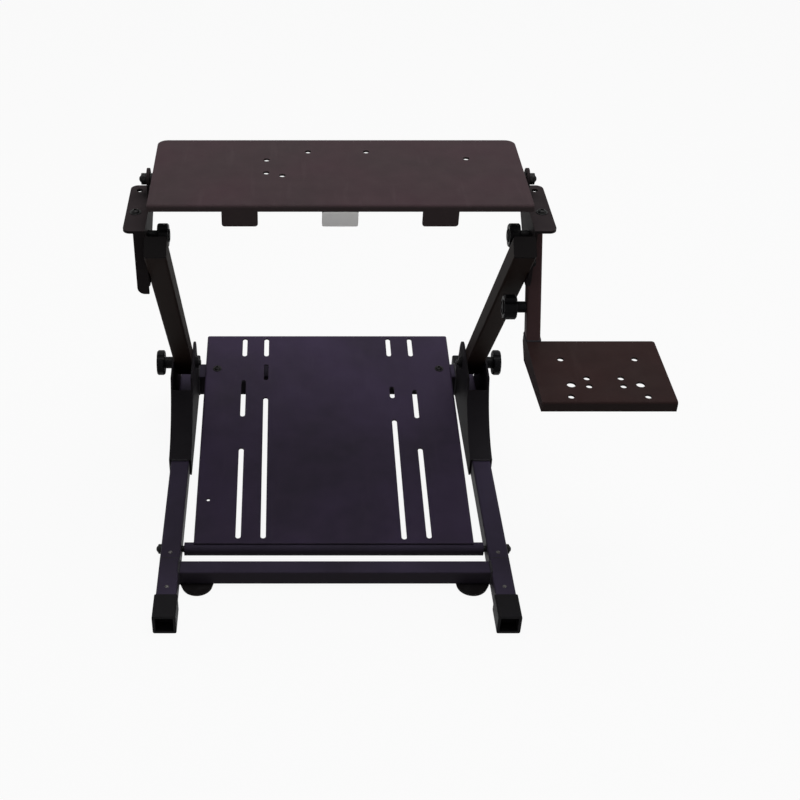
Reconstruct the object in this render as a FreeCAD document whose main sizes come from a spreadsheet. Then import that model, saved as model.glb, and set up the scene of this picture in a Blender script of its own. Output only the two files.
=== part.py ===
"""A folding stand for a racing wheel, its pedals and a shifter, in steel tube and folded sheet.

Two floor tubes with end caps are tied by a front and a rear cross tube. The pedal deck turns on two bolts at
its front. Two arms fold on knobs held by channel brackets, and carry the tilting wheel plate and the shifter.

Positions are written from the middle of the stand's width, the front of its front caps and the floor. The
origin of the finished part is under the middle of its whole box, so every piece is moved by middle_x and
middle_y.
"""
import FreeCAD, Part
import os

import Sketcher

doc = FreeCAD.newDocument("wheel_stand")
sheet = doc.addObject("Spreadsheet::Sheet", "dim")

# The driving sizes, in millimetres and degrees.
SIZES = {
    "middle_x": 76, "middle_y": 320,
    "stand_width": 520, "tube": 30, "tube_wall": 2, "tube_corner": 3, "floor_gap": 2,
    "cap_length": 44, "cap_wall": 2, "cap_seat": 24, "cap_recess": 18, "cap_rim": 4, "stand_depth": 640,
    "front_bar": 25, "front_bar_y": 90, "rear_bar": 40, "rear_bar_y": 563,
    "pad_radius": 25, "pad_x": 204, "pad_y": 96, "pad_taper": 2,
    "cheek": 3, "cheek_toe_y": 345, "cheek_toe_z": 34, "cheek_peak_y": 447, "cheek_peak_z": 124,
    "cheek_sag": 140, "cheek_top": 36, "cheek_heel_y": 590, "web_y": 436, "web_z": 106,
    "fold_y": 525, "fold_z": 100, "fold_pin": 6, "fold_collar": 10, "fold_reach": 16, "fold_head": 21.5,
    "fold_grip": 13, "fold_nut": 5, "flute": 6, "flute_depth": 3, "edge": 2, "running": 0.05,
    "arm_lean": 53, "arm_below": 19, "arm_above": 505,
    "bracket_sheet": 4, "bracket_z": 444, "bracket_round": 22, "bracket_back_y": 375,
    "bracket_back_z": 500, "lug_top": 518, "lug_reach": 26, "lug_front": 240, "lug_length": 130,
    "lug_corner": 10, "lug_hole": 4.5, "lug_hole_y": 355, "bracket_lip": 16, "bracket_lip_low": 419,
    "tilt_y": 345, "tilt_z": 541, "tilt_pin": 5, "tilt_head": 8, "tilt_ear": 15, "side_gap": 5, "slip": 0.3,
    "grip_y": 276, "grip_z": 491, "grip_radius": 17, "grip_length": 15, "grip_stem": 7, "grip_reach": 13,
    "plug_plate": 3, "plug_depth": 12,
    "plate_width": 510, "plate_front": 240, "plate_depth": 195, "plate_top": 556, "sheet": 3,
    "plate_corner": 14, "plate_lip": 9, "bend": 4, "flange_length": 90, "tab_width": 48, "tab_drop": 31,
    "tab_pitch": 133, "tab_corner": 4, "wheel_hole": 4.5,
    "post": 20, "post_wall": 2, "post_lean": 59.4, "post_foot_y": 237, "post_foot_z": 350, "post_gap": 1,
    "shift_width": 179, "shift_front": 84, "shift_depth": 142, "shift_lip": 15, "shift_gusset": 33,
    "shift_heel": 24, "shift_middle": 91.5, "shift_hole": 4.5, "shift_big": 6, "shift_pitch_x": 102, "shift_pitch_y": 85,
    "shift_back_y": 182.5, "shift_mid_y": 124, "shift_big_pitch": 93, "shift_inner_x": 46,
    "shift_inner_y": 18, "shift_inner_back": 138.5,
    "clamp_y": 258.5, "clamp_z": 386, "clamp_radius": 18, "clamp_neck": 8, "clamp_length": 18,
    "clamp_shank": 14,
    "deck_width": 424, "deck_length": 474, "deck_tilt": 6.9, "hinge_y": 155, "hinge_z": 17, "hinge_bar": 10,
    "hinge_pin": 5, "hinge_head": 7.5, "hinge_bore": 26, "hinge_side": 4, "deck_side": 12, "slot": 8,
    "deck_hole": 3, "deck_hole_x": 193.5, "deck_hole_y": 88, "slot_outer": 145, "slot_inner": 107,
    "riser_x": 191.5, "riser_width": 24, "riser_foot": 12, "riser_run": 27,
}
for row, (alias, value) in enumerate(SIZES.items(), 1):
    sheet.set(f"A{row}", alias)
    sheet.set(f"B{row}", str(value))
    sheet.setAlias(f"B{row}", alias)
doc.recompute()

SIDES = {"left": -1, "right": 1}
HALF = "dim.stand_width / 2"
INNER = "(dim.stand_width / 2 - dim.tube)"
X_AXIS = FreeCAD.Vector(1, 0, 0)
Y_AXIS = FreeCAD.Vector(0, 1, 0)
pieces = []

# The wheel plate's bolt holes, as places across and from the front.
WHEEL_HOLES = [(-99, 373), (-99, 334), (-77, 326), (-41, 398), (41, 398), (180, 377)]

# The deck's slots: by the column's place across, each slot's near and far end along the deck from its hinge.
SLOTS = {
    "-dim.slot_outer": [(10, 200), (272, 360), (421, 468)],
    "-dim.slot_inner": [(10, 318), (360, 400), (421, 468)],
    "dim.slot_inner": [(8, 265), (316, 344), (421, 468)],
    "dim.slot_outer": [(10, 200), (268, 336), (421, 468)],
}


def keep(shape, label):
    """Marks an object as a finished piece and gives it its name."""
    shape.Label = label
    pieces.append(shape)
    return shape


def place(item, x, y, z, axis=None, angle=None):
    """Binds an object's place, in the stand's own positions, and its turn about one axis."""
    if axis is not None:
        item.Placement = FreeCAD.Placement(FreeCAD.Vector(), FreeCAD.Rotation(axis, 10))
        item.setExpression("Placement.Rotation.Angle", str(angle))
    item.setExpression("Placement.Base.x", f"{x} - dim.middle_x")
    item.setExpression("Placement.Base.y", f"{y} - dim.middle_y")
    item.setExpression("Placement.Base.z", str(z))
    return item


def box(size, at):
    """A block of three bound sizes from its lowest corner."""
    item = doc.addObject("Part::Box", "block")
    for name, value in zip(("Length", "Width", "Height"), size):
        item.setExpression(name, str(value))
    return place(item, *at)


def rod(radius, length, at):
    """A cylinder from a point towards +X."""
    item = doc.addObject("Part::Cylinder", "rod")
    item.setExpression("Radius", str(radius))
    item.setExpression("Height", str(length))
    item.Placement = FreeCAD.Placement(FreeCAD.Vector(), FreeCAD.Rotation(Y_AXIS, 90))
    return place(item, *at)


def fuse(items):
    """One solid from several."""
    item = doc.addObject("Part::MultiFuse", "joined")
    item.Shapes = items
    item.Refine = True
    return item


def cut(base, tools):
    """A solid with others taken away."""
    item = doc.addObject("Part::Cut", "cut")
    item.Base = base
    item.Tool = tools[0] if len(tools) == 1 else fuse(tools)
    return item


def mirrored_x(side, near, length):
    """The lowest X of a piece that starts at near and runs outwards, on either side."""
    return f"({near})" if side > 0 else f"(-({near}) - ({length}))"


def origin_plane(body, role):
    """One of a body's own three planes."""
    return next(f for f in body.Origin.OriginFeatures if f.Role == role)


def sketch_on(body, role, offset=None):
    """A sketch on one of a body's planes, moved along the plane's direction by a bound offset."""
    sketch = body.newObject("Sketcher::SketchObject", "sketch")
    sketch.AttachmentSupport = [(origin_plane(body, role), "")]
    sketch.MapMode = "FlatFace"
    if offset is not None:
        sketch.setExpression("AttachmentOffset.Base.z", str(offset))
    return sketch


def pin_point(geometry, position, at, x, y):
    """Holds a sketch point at two bound distances from the sketch's origin."""
    return [(Sketcher.Constraint("DistanceX", -1, 1, geometry, position, at.x), x),
            (Sketcher.Constraint("DistanceY", -1, 1, geometry, position, at.y), y)]


def constrain(sketch, rules):
    """Adds constraints together and binds those that have an expression."""
    indices = sketch.addConstraint([rule for rule, value in rules])
    for index, (rule, value) in zip(indices, rules):
        if value is not None:
            sketch.setExpression(f"Constraints[{index}]", str(value))


def number(text):
    """The present value of an expression on the sheet, to start a sketch near its solution."""
    value = sheet.evalExpression(str(text))
    return float(getattr(value, "Value", value))


def outline(sketch, points, arcs=None):
    """A closed outline through bound points. arcs gives a side's bound radius and bulge, by first point."""
    arcs = arcs or {}
    at = [FreeCAD.Vector(number(x), number(y), 0) for x, y in points]
    count = len(at)
    start = len(sketch.Geometry)
    for k in range(count):
        first, last = at[k], at[(k + 1) % count]
        if k in arcs:
            radius, bulge = arcs[k]
            size = number(radius)
            chord = last - first
            across = FreeCAD.Vector(-chord.y, chord.x, 0).normalize()
            rise = size - max(0, size ** 2 - (chord.Length / 2) ** 2) ** 0.5
            middle = first + chord * 0.5 + across * rise * bulge
            sketch.addGeometry(Part.Arc(first, middle, last))
        else:
            sketch.addGeometry(Part.LineSegment(first, last))
    rules = []
    for k in range(count):
        after = (k + 1) % count
        near, far = ends(sketch, start + k, at[k])
        joined = ends(sketch, start + after, at[after])[0]
        rules.append((Sketcher.Constraint("Coincident", start + k, far, start + after, joined), None))
        rules += pin_point(start + k, near, at[k], *points[k])
        if k in arcs:
            rules.append((Sketcher.Constraint("Radius", start + k, number(arcs[k][0])), arcs[k][0]))
    constrain(sketch, rules)


def ends(sketch, geometry, first):
    """The numbers of a side's first and last point, since an arc may be stored the other way round."""
    start = sketch.getPoint(geometry, 1)
    return (1, 2) if (start - first).Length < 1e-6 else (2, 1)


def circle(sketch, x, y, radius):
    """A circle with its middle and radius bound."""
    at = FreeCAD.Vector(number(x), number(y), 0)
    index = sketch.addGeometry(Part.Circle(at, FreeCAD.Vector(0, 0, 1), number(radius)))
    size = (Sketcher.Constraint("Radius", index, number(radius)), radius)
    constrain(sketch, pin_point(index, 3, at, x, y) + [size])


def rectangle(sketch, width, height):
    """A rectangle centred on the sketch's origin."""
    w, h = f"({width}) / 2", f"({height}) / 2"
    outline(sketch, [(f"-{w}", f"-{h}"), (w, f"-{h}"), (w, h), (f"-{w}", h)])


def pad(body, sketch, length, reverse=False):
    """Raises a sketch by a bound length, along its plane's direction or against it."""
    feature = body.newObject("PartDesign::Pad", "pad")
    feature.Profile = sketch
    feature.setExpression("Length", str(length))
    feature.Reversed = reverse
    doc.recompute([sketch, feature])
    return feature


def pocket(body, sketch, length=None, reverse=False):
    """A cut of bound depth, or right through both ways."""
    feature = body.newObject("PartDesign::Pocket", "pocket")
    feature.Profile = sketch
    if length is None:
        feature.Type = "ThroughAll"
        feature.Midplane = True
    else:
        feature.setExpression("Length", str(length))
        feature.Reversed = reverse
    doc.recompute([sketch, feature])
    return feature


def round_edges(body, feature, radius, chosen):
    """Rounds the straight edges that the test picks, from their middle and direction."""
    names = []
    for k, edge in enumerate(feature.Shape.Edges, 1):
        if chosen(edge.CenterOfMass, edge.tangentAt(edge.FirstParameter)):
            names.append(f"Edge{k}")
    fillet = body.newObject("PartDesign::Fillet", "corners")
    fillet.Base = (feature, names)
    fillet.setExpression("Radius", str(radius))
    doc.recompute([fillet])
    return fillet


def round_long_edges(body, feature, radius):
    """Rounds the edges that run along the body's own Z."""
    return round_edges(body, feature, radius, lambda middle, along: abs(along.z) > 0.99)


def corner_plate(side, near, far, low, high, corner, both=True):
    """An outline with its far corners rounded, mirrored for the left, as points and arcs for outline()."""
    near, far, inner = f"{side} * ({near})", f"{side} * ({far})", f"{side} * ({far} - {corner})"
    points = [(near, low), (inner, low), (far, f"{low} + {corner}")]
    arcs = {1: (corner, -side)}
    if both:
        arcs[3] = (corner, -side)
        points += [(far, f"{high} - {corner}"), (inner, high)]
    else:
        points += [(far, high)]
    return points + [(near, high)], arcs


def bent_edge(front, back, top, lip):
    """The side view of a sheet whose front edge is bent down, as points and arcs for outline()."""
    inside = f"{top} - dim.sheet"
    return [
        (front, f"{top} - {lip}"), (front, f"{top} - dim.bend"), (f"{front} + dim.bend", top), (back, top),
        (back, inside), (f"{front} + dim.bend", inside), (f"{front} + dim.sheet", f"{top} - dim.bend"),
        (f"{front} + dim.sheet", f"{top} - {lip}"),
    ], {1: ("dim.bend", 1), 5: ("dim.bend - dim.sheet", -1)}


def turned(profile):
    """A body turned about its own X from (distance along, radius) points, closed along the axis."""
    body = doc.addObject("PartDesign::Body", "turned")
    half = sketch_on(body, "XY_Plane")
    outline(half, [(profile[0][0], "0")] + list(profile) + [(profile[-1][0], "0")])
    feature = body.newObject("PartDesign::Revolution", "turn")
    feature.Profile = half
    feature.ReferenceAxis = (half, ["H_Axis"])
    feature.Angle = 360
    doc.recompute([half, feature])
    return body


def steps(runs):
    """A stepped profile from (length, radius) runs, one after another."""
    points, along = [], "0"
    for length, radius in runs:
        points.append((along, radius))
        along = f"{along} + {length}"
        points.append((along, radius))
    return points


def set_out(body, name, side, near, y, z, label):
    """Places a turned body so that it runs outwards from near, on either side."""
    if side > 0:
        place(body, near, y, z)
    else:
        place(body, f"-({near})", y, z, FreeCAD.Vector(0, 0, 1), 180)
    keep(body, f"{name}_{label}")


def flutes(body, outer, radius, length, count=6):
    """Finger grooves round a knob's rim, cut from its outer face."""
    rim = sketch_on(body, "YZ_Plane", outer)
    for k in range(count):
        turn = f"{360 * k / count} deg"
        reach = f"({radius} + dim.flute - dim.flute_depth)"
        circle(rim, f"{reach} * cos({turn})", f"{reach} * sin({turn})", "dim.flute")
    pocket(body, rim, length)


def hand_nut(length, radius, reach, stem):
    """A grooved nut turned by hand, along its own X, with a plain stem behind it."""
    body = turned([
        ("0", f"{radius} - dim.edge"), ("dim.edge", radius), (f"{length} - dim.edge", radius),
        (length, f"{radius} - dim.edge"), (length, stem), (f"{length} + {reach}", stem),
    ])
    flutes(body, length, radius, length)
    return body


def square_tube(size, wall, length, holes=()):
    """A square tube along its own Z with rounded corners; holes are (distance along, radius), across X."""
    body = doc.addObject("PartDesign::Body", "tube")
    outer = sketch_on(body, "XY_Plane")
    rectangle(outer, size, size)
    round_long_edges(body, pad(body, outer, length), "dim.tube_corner")
    inner = sketch_on(body, "XY_Plane")
    bore = f"({size}) - 2 * ({wall})"
    rectangle(inner, bore, bore)
    pocket(body, inner)
    for along, radius in holes:
        side = sketch_on(body, "YZ_Plane")
        circle(side, "0", along, radius)
        pocket(body, side)
    return body


def floor_tubes():
    """The two tubes that lie on the floor, bored for the pedal deck's bolts and the fold pins' brackets."""
    start = "dim.cap_recess + dim.cap_wall"
    for name, side in SIDES.items():
        body = square_tube("dim.tube", "dim.tube_wall", f"dim.stand_depth - 2 * ({start})",
                           [(f"dim.hinge_y - ({start})", "dim.hinge_pin + dim.running")])
        middle = f"{side} * (dim.stand_width - dim.tube) / 2"
        place(body, middle, start, "dim.floor_gap + dim.tube / 2", X_AXIS, -90)
        keep(body, f"{name}_floor_tube")


def end_caps():
    """Moulded sleeves over the tubes' ends, each with an open pocket in its outer end."""
    outer = "dim.tube + 2 * dim.cap_wall"
    for name, side in SIDES.items():
        for end, turn, at in (("front", -90, "0"), ("rear", 90, "dim.stand_depth")):
            body = doc.addObject("PartDesign::Body", "cap")
            shell = sketch_on(body, "XY_Plane")
            rectangle(shell, outer, outer)
            round_long_edges(body, pad(body, shell, "dim.cap_length"), "dim.tube_corner")
            recess = sketch_on(body, "XY_Plane")
            rim = f"{outer} - 2 * dim.cap_rim"
            rectangle(recess, rim, rim)
            pocket(body, recess, "dim.cap_recess", reverse=True)
            seat = sketch_on(body, "XY_Plane", "dim.cap_recess + dim.cap_wall")
            rectangle(seat, "dim.tube", "dim.tube")
            pocket(body, seat, "dim.cap_seat", reverse=True)
            middle = f"{side} * (dim.stand_width - dim.tube) / 2"
            place(body, middle, at, f"({outer}) / 2", X_AXIS, turn)
            keep(body, f"{name}_{end}_cap")


def cross_tubes():
    """The front tube, flush with the floor tubes' tops, and the larger rear tube between the brackets."""
    length = "dim.stand_width - 2 * dim.tube"
    front = square_tube("dim.front_bar", "dim.tube_wall", length)
    top = "dim.floor_gap + dim.tube"
    place(front, f"-{INNER}", "dim.front_bar_y + dim.front_bar / 2", f"{top} - dim.front_bar / 2", Y_AXIS, 90)
    keep(front, "front_cross_tube")
    rear = square_tube("dim.rear_bar", "dim.tube_wall", f"{length} - 2 * dim.cheek")
    middle_z = "dim.floor_gap + dim.rear_bar / 2"
    place(rear, f"-{INNER} + dim.cheek", "dim.rear_bar_y + dim.rear_bar / 2", middle_z, Y_AXIS, 90)
    keep(rear, "rear_cross_tube")


def floor_pads():
    """Round pads under the front cross tube, a little narrower at the floor."""
    height = "dim.floor_gap + dim.tube - dim.front_bar"
    for name, side in SIDES.items():
        cone = doc.addObject("Part::Cone", "pad")
        cone.setExpression("Radius1", "dim.pad_radius - dim.pad_taper")
        cone.setExpression("Radius2", "dim.pad_radius")
        cone.setExpression("Height", height)
        place(cone, f"{side} * dim.pad_x", "dim.pad_y", "0")
        keep(cone, f"{name}_floor_pad")


def fold_brackets():
    """Folded channels over the floor tubes: two cheeks and a curved web, open where the arm swings."""
    width = "dim.tube + 2 * dim.cheek"
    top = "dim.fold_z + dim.cheek_top"
    back = "dim.fold_y + dim.cheek_top"
    for name, side in SIDES.items():
        body = doc.addObject("PartDesign::Body", "channel")
        profile = sketch_on(body, "YZ_Plane")
        outline(profile, [
            ("dim.cheek_toe_y", "dim.floor_gap"), ("dim.cheek_toe_y", "dim.cheek_toe_z"),
            ("dim.cheek_peak_y", "dim.cheek_peak_z"), ("dim.fold_y", top), (back, "dim.fold_z"),
            ("dim.cheek_heel_y", "dim.floor_gap"),
        ], {1: ("dim.cheek_sag", -1), 3: ("dim.cheek_top", 1)})
        pad(body, profile, width)
        inside = sketch_on(body, "YZ_Plane", "dim.cheek")
        lift = "2 * dim.cheek_peak_z"
        seat = "dim.floor_gap + dim.tube"
        outline(inside, [
            ("dim.cheek_toe_y - dim.cheek", "0"), ("dim.cheek_toe_y - dim.cheek", seat),
            ("dim.cheek_toe_y + 2 * dim.cheek", seat),
            ("dim.web_y + dim.cheek", "dim.web_z - dim.cheek / 2"), ("dim.web_y - 2 * dim.cheek", lift),
            ("2 * dim.cheek_heel_y", lift), ("2 * dim.cheek_heel_y", "0"),
        ], {2: ("dim.cheek_sag", -1)})
        pocket(body, inside, "dim.tube", reverse=True)
        hole = sketch_on(body, "YZ_Plane")
        circle(hole, "dim.fold_y", "dim.fold_z", "dim.fold_pin + dim.running")
        pocket(body, hole)
        place(body, mirrored_x(side, f"{INNER} - dim.cheek", width), "0", "0")
        keep(body, f"{name}_fold_bracket")


def fold_knobs():
    """The fold pins, each with a nut inside its bracket and a grooved hand knob outside."""
    inside = f"{INNER} - dim.cheek"
    for name, side in SIDES.items():
        profile = steps([("dim.fold_nut", "dim.fold_collar"), ("dim.tube + 2 * dim.cheek", "dim.fold_pin"),
                         ("dim.fold_reach", "dim.fold_collar")])
        start = profile[-1][0]
        outer = f"{start} + dim.fold_grip"
        profile += [
            (start, "dim.fold_head - dim.edge"), (f"{start} + dim.edge", "dim.fold_head"),
            (f"{outer} - dim.edge", "dim.fold_head"), (outer, "dim.fold_head - dim.edge"),
        ]
        body = turned(profile)
        flutes(body, outer, "dim.fold_head", "dim.fold_grip")
        set_out(body, name, side, f"{inside} - dim.fold_nut", "dim.fold_y", "dim.fold_z", "fold_knob")


def arms():
    """The leaning arms, each bored for its fold pin near its lower end."""
    for name, side in SIDES.items():
        body = square_tube("dim.tube", "dim.tube_wall", "dim.arm_below + dim.arm_above",
                           [("dim.arm_below", "dim.fold_pin + dim.running")])
        y = "dim.fold_y + dim.arm_below * cos(dim.arm_lean * 1 deg)"
        z = "dim.fold_z - dim.arm_below * sin(dim.arm_lean * 1 deg)"
        place(body, f"{side} * (dim.stand_width - dim.tube) / 2", y, z, X_AXIS, "90 - dim.arm_lean")
        keep(body, f"{name}_arm")


def arm_plugs():
    """Moulded plugs in the arms' open upper ends."""
    bore = "dim.tube - 2 * dim.tube_wall"
    for name, side in SIDES.items():
        body = doc.addObject("PartDesign::Body", "plug")
        face = sketch_on(body, "XY_Plane")
        rectangle(face, "dim.tube", "dim.tube")
        round_long_edges(body, pad(body, face, "dim.plug_plate"), "dim.tube_corner")
        insert = sketch_on(body, "XY_Plane")
        rectangle(insert, bore, bore)
        pad(body, insert, "dim.plug_depth", reverse=True)
        y = "dim.fold_y - dim.arm_above * cos(dim.arm_lean * 1 deg)"
        z = "dim.fold_z + dim.arm_above * sin(dim.arm_lean * 1 deg)"
        place(body, f"{side} * (dim.stand_width - dim.tube) / 2", y, z, X_AXIS, "90 - dim.arm_lean")
        keep(body, f"{name}_arm_plug")


def wheel_brackets():
    """Folded plates on the arms' outer faces: a tilt bolt's ear, a lug, and on the left a lip in front."""
    front = "dim.lug_front"
    low = "dim.lug_top - dim.bracket_sheet"
    reach = f"{HALF} + dim.bracket_sheet + dim.lug_reach"
    for name, side in SIDES.items():
        body = doc.addObject("PartDesign::Body", "bracket")
        cheek = sketch_on(body, "YZ_Plane", mirrored_x(side, HALF, "dim.bracket_sheet"))
        outline(cheek, [
            (front, "dim.lug_top"), (front, "dim.bracket_z"),
            (f"{front} + dim.bracket_round", "dim.bracket_z - dim.bracket_round"),
            (f"{front} + 2 * dim.bracket_round", "dim.bracket_z"),
            ("dim.bracket_back_y", "dim.bracket_back_z"), ("dim.bracket_back_y", "dim.lug_top"),
            ("dim.tilt_y + dim.tilt_ear", "dim.lug_top"),
            ("dim.tilt_y + dim.tilt_ear", "dim.tilt_z"), ("dim.tilt_y", "dim.tilt_z + dim.tilt_ear"),
            ("dim.tilt_y - dim.tilt_ear", "dim.tilt_z"), ("dim.tilt_y - dim.tilt_ear", "dim.lug_top"),
        ], {1: ("dim.bracket_round", -1), 2: ("dim.bracket_round", -1),
            7: ("dim.tilt_ear", -1), 8: ("dim.tilt_ear", -1)})
        pad(body, cheek, "dim.bracket_sheet")
        lug = sketch_on(body, "XY_Plane", low)
        back = f"{front} + dim.lug_length"
        outline(lug, *corner_plate(side, HALF, reach, front, back, "dim.lug_corner"))
        pad(body, lug, "dim.bracket_sheet")
        if side < 0:
            lip = sketch_on(body, "XZ_Plane", f"-({front})")
            edge = f"{HALF} + dim.bracket_lip"
            outline(lip, *corner_plate(side, HALF, edge, "dim.bracket_lip_low", "dim.lug_top",
                                       "dim.lug_corner", both=False))
            pad(body, lip, "dim.bracket_sheet", reverse=True)
        pivot = sketch_on(body, "YZ_Plane")
        circle(pivot, "dim.tilt_y", "dim.tilt_z", "dim.tilt_pin + dim.running")
        pocket(body, pivot)
        hole = sketch_on(body, "XY_Plane")
        circle(hole, f"{side} * ({reach} - dim.lug_reach / 2)", "dim.lug_hole_y", "dim.lug_hole")
        pocket(body, hole)
        place(body, "0", "0", "0")
        keep(body, f"{name}_wheel_bracket")


def bracket_grips():
    """Grooved hand nuts on the brackets' inner faces, above the arms' ends."""
    for name, side in SIDES.items():
        body = hand_nut("dim.grip_length", "dim.grip_radius", "dim.grip_reach", "dim.grip_stem")
        near = f"{HALF} - dim.grip_length - dim.grip_reach"
        set_out(body, name, side, near, "dim.grip_y", "dim.grip_z", "bracket_grip")


def tilt_bolts():
    """The bolts that the wheel plate tilts on, each a nut, a pin, a spacer, a pin again and a head."""
    start = "dim.plate_width / 2 - dim.sheet - dim.slip - dim.tilt_pin"
    for name, side in SIDES.items():
        body = turned(steps([
            ("dim.tilt_pin", "dim.tilt_head"), ("dim.sheet + 2 * dim.slip", "dim.tilt_pin"),
            ("dim.side_gap - dim.slip", "dim.tilt_head"), ("dim.bracket_sheet", "dim.tilt_pin"),
            ("dim.tilt_head", "dim.tilt_head"),
        ]))
        set_out(body, name, side, start, "dim.tilt_y", "dim.tilt_z", "tilt_bolt")


def wheel_plate():
    """The bent sheet that the wheel is clamped or bolted to, with three front tabs and two side ears."""
    half = "dim.plate_width / 2"
    back = "dim.plate_front + dim.plate_depth"
    body = doc.addObject("PartDesign::Body", "plate")
    section = sketch_on(body, "YZ_Plane", f"-{half}")
    outline(section, *bent_edge("dim.plate_front", back, "dim.plate_top", "dim.plate_lip"))
    sheet_pad = pad(body, section, "dim.plate_width")
    round_edges(body, sheet_pad, "dim.plate_corner",
                lambda middle, along: abs(along.z) > 0.99 and middle.y > number(back) - 1)
    tabs = sketch_on(body, "XZ_Plane", "-dim.plate_front")
    low, high = "dim.plate_top - dim.tab_drop", "dim.plate_top - dim.plate_lip / 2"
    for k in (-1, 0, 1):
        left = f"{k} * dim.tab_pitch - dim.tab_width / 2"
        right = f"{k} * dim.tab_pitch + dim.tab_width / 2"
        outline(tabs, [
            (left, high), (left, f"{low} + dim.tab_corner"), (f"{left} + dim.tab_corner", low),
            (f"{right} - dim.tab_corner", low), (right, f"{low} + dim.tab_corner"), (right, high),
        ], {1: ("dim.tab_corner", -1), 3: ("dim.tab_corner", -1)})
    pad(body, tabs, "dim.sheet", reverse=True)
    for side in SIDES.values():
        ear = sketch_on(body, "YZ_Plane", mirrored_x(side, f"{half} - dim.sheet", "dim.sheet"))
        outline(ear, [
            ("dim.tilt_y - dim.flange_length / 2", "dim.plate_top - dim.sheet / 2"),
            ("dim.tilt_y - dim.tilt_ear", "dim.tilt_z"), ("dim.tilt_y", "dim.tilt_z - dim.tilt_ear"),
            ("dim.tilt_y + dim.tilt_ear", "dim.tilt_z"),
            ("dim.tilt_y + dim.flange_length / 2", "dim.plate_top - dim.sheet / 2"),
        ], {1: ("dim.tilt_ear", -1), 2: ("dim.tilt_ear", -1)})
        pad(body, ear, "dim.sheet")
    pivot = sketch_on(body, "YZ_Plane")
    circle(pivot, "dim.tilt_y", "dim.tilt_z", "dim.tilt_pin + dim.running")
    pocket(body, pivot)
    holes = sketch_on(body, "XY_Plane")
    for x, y in WHEEL_HOLES:
        circle(holes, x, y, "dim.wheel_hole")
    pocket(body, holes)
    place(body, "0", "0", "0")
    keep(body, "wheel_plate")


def shifter():
    """The square post under the right lug, its clamp knob, and the folded shifter plate at its foot."""
    near = f"{HALF} + dim.bracket_sheet + dim.post_gap"
    middle = f"{near} + dim.post / 2"
    rise = "(dim.lug_top - dim.bracket_sheet - dim.post_foot_z)"
    body = square_tube("dim.post", "dim.post_wall", f"{rise} / sin(dim.post_lean * 1 deg) + 2 * dim.post")
    y = "dim.post_foot_y - dim.post * cos(dim.post_lean * 1 deg)"
    z = "dim.post_foot_z - dim.post * sin(dim.post_lean * 1 deg)"
    place(body, middle, y, z, X_AXIS, "dim.post_lean - 90")
    room = box(("4 * dim.post", "dim.stand_depth", rise),
               (f"{middle} - 2 * dim.post", "0", "dim.post_foot_z"))
    post = doc.addObject("Part::Common", "post")
    post.Base = body
    post.Tool = room
    keep(post, "shifter_post")
    neck = "dim.clamp_length + dim.clamp_shank"
    knob = hand_nut("dim.clamp_length", "dim.clamp_radius", "dim.clamp_shank", "dim.clamp_neck")
    set_out(knob, "shifter", 1, f"{near} - ({neck})", "dim.clamp_y", "dim.clamp_z", "knob")
    left = near
    back = "dim.shift_front + dim.shift_depth"
    heel = f"{back} + dim.shift_heel"
    plate = doc.addObject("PartDesign::Body", "plate")
    section = sketch_on(plate, "YZ_Plane", left)
    outline(section, *bent_edge("dim.shift_front", back, "dim.post_foot_z", "dim.shift_lip"))
    sheet_pad = pad(plate, section, "dim.shift_width")
    round_edges(plate, sheet_pad, "dim.tab_corner", lambda middle, along: (
        abs(along.z) > 0.99 and middle.y > number(back) - 1 and middle.x > number(left) + 1))
    gusset = sketch_on(plate, "YZ_Plane", left)
    outline(gusset, [
        ("dim.shift_front + dim.bend", "dim.post_foot_z - dim.sheet / 2"),
        ("dim.shift_front", "dim.post_foot_z - dim.bend"),
        ("dim.shift_front", "dim.post_foot_z - dim.shift_lip"), (back, "dim.post_foot_z - dim.shift_gusset"),
        (heel, "dim.post_foot_z - dim.shift_lip"), (heel, "dim.post_foot_z - dim.sheet / 2"),
    ])
    pad(plate, gusset, "dim.sheet")
    foot = sketch_on(plate, "XY_Plane", "dim.post_foot_z - dim.sheet")
    inner = f"{left} + dim.post"
    outline(foot, [(left, f"{back} - dim.sheet"), (inner, f"{back} - dim.sheet"), (inner, heel), (left, heel)])
    pad(plate, foot, "dim.sheet")
    holes = sketch_on(plate, "XY_Plane")
    centre = f"{left} + dim.shift_middle"
    for side in SIDES.values():
        for y, pitch, radius in (
            ("dim.shift_back_y", "dim.shift_pitch_x", "dim.shift_hole"),
            ("dim.shift_back_y - dim.shift_pitch_y", "dim.shift_pitch_x", "dim.shift_hole"),
            ("dim.shift_mid_y", "dim.shift_big_pitch", "dim.shift_big"),
            ("dim.shift_inner_back", "dim.shift_inner_x", "dim.shift_hole"),
            ("dim.shift_inner_back - dim.shift_inner_y", "dim.shift_inner_x", "dim.shift_hole"),
        ):
            circle(holes, f"{centre} + {side} * {pitch} / 2", y, radius)
    pocket(plate, holes)
    place(plate, "0", "0", "0")
    keep(plate, "shifter_plate")


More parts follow.
